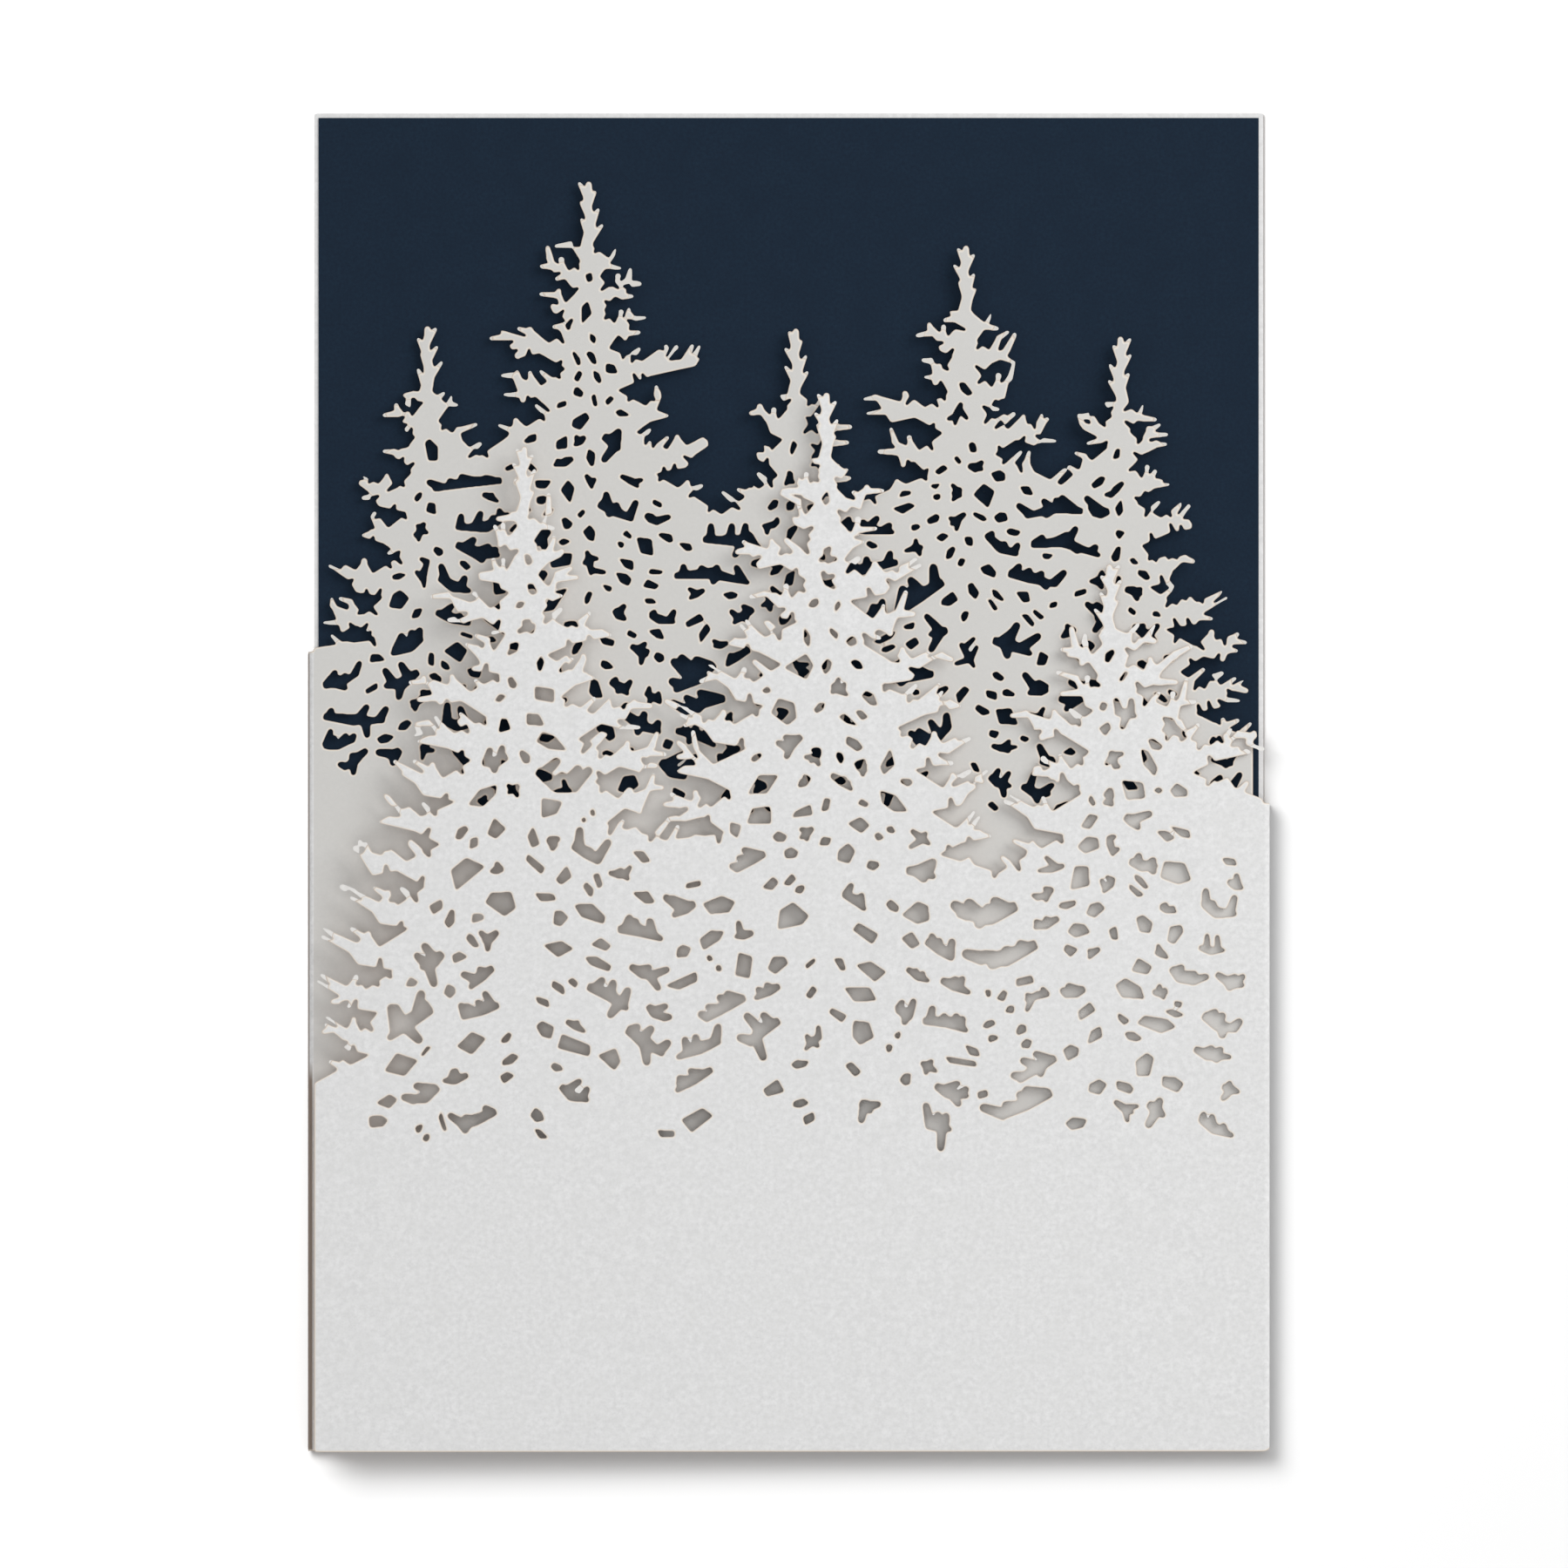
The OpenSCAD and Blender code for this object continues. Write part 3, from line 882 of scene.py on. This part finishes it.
def pearl_card():
    """Pearl card: satin, with fine flecks, cream rims that are painted highlights, scorched cuts darkened
    further by painted shade, painted shade on the far flap, a scorched crease along the far fold widened
    into painted shade low down, and warm inner edges.
    """
    material, tree, shader, grain = paper_material("pearl_card")
    grain.inputs["Fleck scale"].default_value = 1500
    grain.inputs["Mottle scale"].default_value = 420
    fleck = ramp(tree, grain.outputs["Fleck"], 0.32, 0.68)
    tone = mix(tree, fleck, srgb(216, 216, 216), srgb(235, 235, 235))
    mottle = ramp(tree, grain.outputs["Mottle"], 0.35, 0.7)
    tone = mix(tree, ramp(tree, mottle, 0, 1, 0, 0.4), tone, srgb(221, 221, 220))
    # Painted shade: the far flap gets a darker, warmer copy of the same card's tone, for the shade it lies
    # in under the near flap
    far = ramp(tree, attribute(tree, "far_flap"), 0, 1, 0, 0.7)
    tone = mix(tree, far, tone, srgb(199, 197, 192))
    # Brown along the far fold: a thin scorched crease, and low down a broad painted shade of the near flap
    tone = mix(tree, attribute(tree, "score"), tone, srgb(132, 117, 105))
    scorch, broad = attribute(tree, "scorch"), attribute(tree, "broad")
    # Painted highlight: a cream band just inside each cut edge on the top face
    painted_highlight = product(tree, ramp(tree, scorch, 0.05, 0.55, 0, 0.75), ramp(tree, broad, 0, 1, 0.3, 1))
    tone = mix(tree, painted_highlight, tone, srgb(242, 233, 219))
    # Laser scorch at the cut edges, darkened further as painted shade where the edges meet the holes
    burn_and_shade = product(tree, ramp(tree, scorch, 0.5, 1.0, 0, 0.6), broad)
    tone = mix(tree, burn_and_shade, tone, srgb(150, 120, 100))
    tone = mix(tree, ramp(tree, scorch, 1.0, 2.0), tone, srgb(238, 216, 202))
    tone = mix(tree, attribute(tree, "cut_wall"), tone, srgb(150, 118, 88))
    link(tree, tone, shader.inputs["Base Color"])
    rough = ramp(tree, grain.outputs["Fleck"], 0.3, 0.7, 0.36, 0.52)
    link(tree, rough, shader.inputs["Roughness"])
    bump = new_node(tree, "ShaderNodeBump", Strength=0.12, Distance=0.00004)
    link(tree, grain.outputs["Height"], bump.inputs["Height"])
    link(tree, bump.outputs["Normal"], shader.inputs["Normal"])
    shader.inputs["Specular IOR Level"].default_value = 0.4
    return material


def navy_paper():
    """Matt navy paper with a faint tooth."""
    material, tree, shader, grain = paper_material("navy_paper")
    grain.inputs["Fleck scale"].default_value = 2000
    grain.inputs["Mottle scale"].default_value = 240
    fleck = ramp(tree, grain.outputs["Fleck"], 0.3, 0.7)
    tone = mix(tree, fleck, srgb(17, 31, 47), srgb(26, 42, 58))
    mottle = ramp(tree, grain.outputs["Mottle"], 0.35, 0.7, 0, 0.3)
    tone = mix(tree, mottle, tone, srgb(17, 30, 45))
    link(tree, tone, shader.inputs["Base Color"])
    link(tree, ramp(tree, grain.outputs["Fleck"], 0.3, 0.7, 0.72, 0.85), shader.inputs["Roughness"])
    bump = new_node(tree, "ShaderNodeBump", Strength=0.15, Distance=0.00004)
    link(tree, grain.outputs["Height"], bump.inputs["Height"])
    link(tree, bump.outputs["Normal"], shader.inputs["Normal"])
    shader.inputs["Specular IOR Level"].default_value = 0.12
    return material


# Folding the sheet

def fold_path():
    """The fold path as a curve."""
    curve = bpy.data.curves.new("fold_path", "CURVE")
    curve.dimensions = "3D"
    spline = curve.splines.new("POLY")
    spline.points.add(len(PATH) - 1)
    for point, (x, z) in zip(spline.points, PATH * MM):
        point.co = (x, 0, z, 1)
    made = bpy.data.objects.new("fold_path", curve)
    bpy.context.scene.collection.objects.link(made)
    return made


def fold_tree():
    """Node tree that lays a flat sheet along a fold path. Returns the tree and its sockets' identifiers."""
    tree = bpy.data.node_groups.new("fold_sheet", "GeometryNodeTree")
    tree.is_modifier = True
    tree.interface.new_socket("Sheet", in_out="INPUT", socket_type="NodeSocketGeometry")
    sockets = {}
    for name, kind in (("Fold path", "Object"), ("Path before sheet", "Float"), ("Card", "Material")):
        made = tree.interface.new_socket(name, in_out="INPUT", socket_type="NodeSocket" + kind)
        sockets[name] = made.identifier
    tree.interface.new_socket("Folded", in_out="OUTPUT", socket_type="NodeSocketGeometry")
    given, out = new_node(tree, "NodeGroupInput"), new_node(tree, "NodeGroupOutput")
    path = new_node(tree, "GeometryNodeObjectInfo")
    link(tree, given.outputs["Fold path"], path.inputs["Object"])
    flat = new_node(tree, "ShaderNodeSeparateXYZ")
    link(tree, new_node(tree, "GeometryNodeInputPosition").outputs[0], flat.inputs[0])
    length = new_node(tree, "ShaderNodeMath", operation="ADD")
    link(tree, flat.outputs["X"], length.inputs[0])
    link(tree, given.outputs["Path before sheet"], length.inputs[1])
    along = new_node(tree, "GeometryNodeSampleCurve", mode="LENGTH")
    link(tree, path.outputs["Geometry"], along.inputs["Curves"])
    link(tree, length.outputs[0], along.inputs["Length"])
    outward = new_node(tree, "ShaderNodeVectorMath", operation="CROSS_PRODUCT")
    outward.inputs[0].default_value = (0, 1, 0)
    link(tree, along.outputs["Tangent"], outward.inputs[1])
    raised = new_node(tree, "ShaderNodeVectorMath", operation="SCALE")
    link(tree, outward.outputs[0], raised.inputs[0])
    link(tree, flat.outputs["Z"], raised.inputs["Scale"])
    height = new_node(tree, "ShaderNodeCombineXYZ")
    link(tree, flat.outputs["Y"], height.inputs["Y"])
    sums = [new_node(tree, "ShaderNodeVectorMath", operation="ADD") for _ in range(2)]
    link(tree, along.outputs["Position"], sums[0].inputs[0])
    link(tree, raised.outputs[0], sums[0].inputs[1])
    link(tree, sums[0].outputs[0], sums[1].inputs[0])
    link(tree, height.outputs[0], sums[1].inputs[1])
    place = new_node(tree, "GeometryNodeSetPosition")
    link(tree, given.outputs["Sheet"], place.inputs["Geometry"])
    link(tree, sums[1].outputs[0], place.inputs["Position"])
    real = new_node(tree, "GeometryNodeRealizeInstances")
    link(tree, place.outputs[0], real.inputs[0])
    finish = new_node(tree, "GeometryNodeSetMaterial")
    link(tree, real.outputs[0], finish.inputs["Geometry"])
    link(tree, given.outputs["Card"], finish.inputs["Material"])
    link(tree, finish.outputs[0], out.inputs[0])
    return tree, sockets


def applied(piece):
    """The piece with its modifiers made part of its mesh."""
    graph = bpy.context.evaluated_depsgraph_get()
    mesh = bpy.data.meshes.new_from_object(piece.evaluated_get(graph), preserve_all_data_layers=True,
                                           depsgraph=graph)
    piece.modifiers.clear()
    piece.data = mesh
    return piece


def folded_card():
    """The cut sheet, folded."""
    piece = bpy.data.objects.new("folded_card_sheet", flat_sheet())
    bpy.context.scene.collection.objects.link(piece)
    path = fold_path()
    tree, sockets = fold_tree()
    folding = piece.modifiers.new("fold", "NODES")
    folding.node_group = tree
    folding[sockets["Fold path"]] = path
    folding[sockets["Path before sheet"]] = SPARE * MM
    folding[sockets["Card"]] = pearl_card()
    applied(piece)
    bpy.data.objects.remove(path)
    return piece


def navy_liner():
    """The liner: a sheet glued down, flat but for a faint waviness."""
    across, up = 50, 70
    half = np.array([HALF_W - LINER_BORDER, HALF_H - LINER_BORDER])
    xs, ys = np.linspace(-half[0], half[0], across + 1), np.linspace(-half[1], half[1], up + 1)
    rows = []
    for level in (1, 0):
        for y in ys:
            for x in xs:
                wave = 0.03 * (0.5 + 0.5 * noise.noise((x / 30, y / 30, 3)))
                rows.append((x, y, CARD_T + (LINER_T - wave if level else 0)))
    width, total = across + 1, (across + 1) * (up + 1)
    faces = []
    for j in range(up):
        for i in range(across):
            a = j * width + i
            quad = (a, a + 1, a + width + 1, a + width)
            faces += [quad, tuple(total + v for v in quad[::-1])]
    ring = (list(range(across)) + [j * width + across for j in range(up)]
            + [up * width + i for i in range(across, 0, -1)] + [j * width for j in range(up, 0, -1)])
    for a, b in zip(ring, ring[1:] + ring[:1]):
        faces.append((a, total + a, total + b, b))
    mesh = bpy.data.meshes.new("navy_liner")
    mesh.from_pydata((np.array(rows) * MM).tolist(), [], faces)
    mesh.materials.append(navy_paper())
    piece = bpy.data.objects.new("navy_liner_sheet", mesh)
    bpy.context.scene.collection.objects.link(piece)
    return piece


card_piece = folded_card()
liner_piece = navy_liner()
for piece, solid, slot in ((card_piece, "folded_card", "pearl_card"),
                           (liner_piece, "navy_liner", "navy_paper")):
    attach(piece, "root")
    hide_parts(solid)


# Stage

def floor():
    """Plain white floor that shows the shadow and can be seen through from below."""
    mesh = bpy.data.meshes.new("floor")
    size, drop = 4.0, -0.00005
    corners = [(-size, -size, drop), (size, -size, drop), (size, size, drop), (-size, size, drop)]
    mesh.from_pydata(corners, [], [(0, 1, 2, 3)])
    material = bpy.data.materials.new("white_floor")
    material.use_nodes = True
    tree = material.node_tree
    shader = tree.nodes["Principled BSDF"]
    shader.inputs["Base Color"].default_value = (0.55, 0.55, 0.55, 1)
    shader.inputs["Roughness"].default_value = 0.9
    shader.inputs["Specular IOR Level"].default_value = 0.0
    side = new_node(tree, "ShaderNodeNewGeometry")
    clear = new_node(tree, "ShaderNodeBsdfTransparent")
    either = new_node(tree, "ShaderNodeMixShader")
    link(tree, side.outputs["Backfacing"], either.inputs[0])
    link(tree, shader.outputs[0], either.inputs[1])
    link(tree, clear.outputs[0], either.inputs[2])
    link(tree, either.outputs[0], tree.nodes["Material Output"].inputs["Surface"])
    mesh.materials.append(material)
    piece = bpy.data.objects.new("floor", mesh)
    bpy.context.scene.collection.objects.link(piece)
    return piece


def lamp(name, place, width, power):
    """A square soft lamp that faces the middle of the card."""
    light = bpy.data.lights.new(name, "AREA")
    light.shape = "SQUARE"
    light.size = width
    light.energy = power
    made = bpy.data.objects.new(name, light)
    made.location = place
    made.rotation_euler = (-Vector(place)).to_track_quat("-Z", "Y").to_euler()
    bpy.context.scene.collection.objects.link(made)
    return made


def lit_alone(light, pieces):
    """Keeps a lamp's light to some pieces."""
    group = bpy.data.collections.new(light.name + "_pieces")
    for piece in pieces:
        group.objects.link(piece)
    light.light_linking.receiver_collection = group


def studio(ground):
    """Soft light all round, and two lamps each on the card and on the floor."""
    world = bpy.data.worlds.new("studio")
    bpy.context.scene.world = world
    world.use_nodes = True
    tree = world.node_tree
    background = tree.nodes["Background"]
    seen = new_node(tree, "ShaderNodeLightPath")
    strength = new_node(tree, "ShaderNodeMix", data_type="FLOAT")
    strength.inputs[2].default_value = 0.35
    strength.inputs[3].default_value = 1.0
    plain = seen.outputs["Is Camera Ray"]
    for kind in ("Is Glossy Ray", "Is Transmission Ray"):
        either = new_node(tree, "ShaderNodeMath", operation="MAXIMUM")
        link(tree, plain, either.inputs[0])
        link(tree, seen.outputs[kind], either.inputs[1])
        plain = either.outputs["Value"]
    link(tree, plain, strength.inputs[0])
    link(tree, strength.outputs[0], background.inputs["Strength"])
    background.inputs["Color"].default_value = (1, 1, 1, 1)
    lit_alone(lamp("overhead", (0, 0, 1.7), 1.0, 7.7), (card_piece, liner_piece))
    lit_alone(lamp("key", (0.6, 0.42, 0.66), 0.6, 5.2), (card_piece, liner_piece))
    lit_alone(lamp("floor_sky", (0, 0, 1.0), 2.5, 18), (ground,))
    lit_alone(lamp("floor_key", (-0.5, 0.5, 0.8), 0.7, 18.5), (ground,))


def camera():
    """Long lens straight above the card."""
    view_w, distance = 208.52 * MM, 2.5
    data = bpy.data.cameras.new("camera")
    data.lens = 36 * distance / view_w
    data.clip_end = 20
    made = bpy.data.objects.new("camera", data)
    made.location = (-0.61 * MM, -0.26 * MM, distance)
    bpy.context.scene.collection.objects.link(made)
    bpy.context.scene.camera = made


ground = floor()
studio(ground)
camera()
bpy.context.scene.view_settings.view_transform = "Standard"
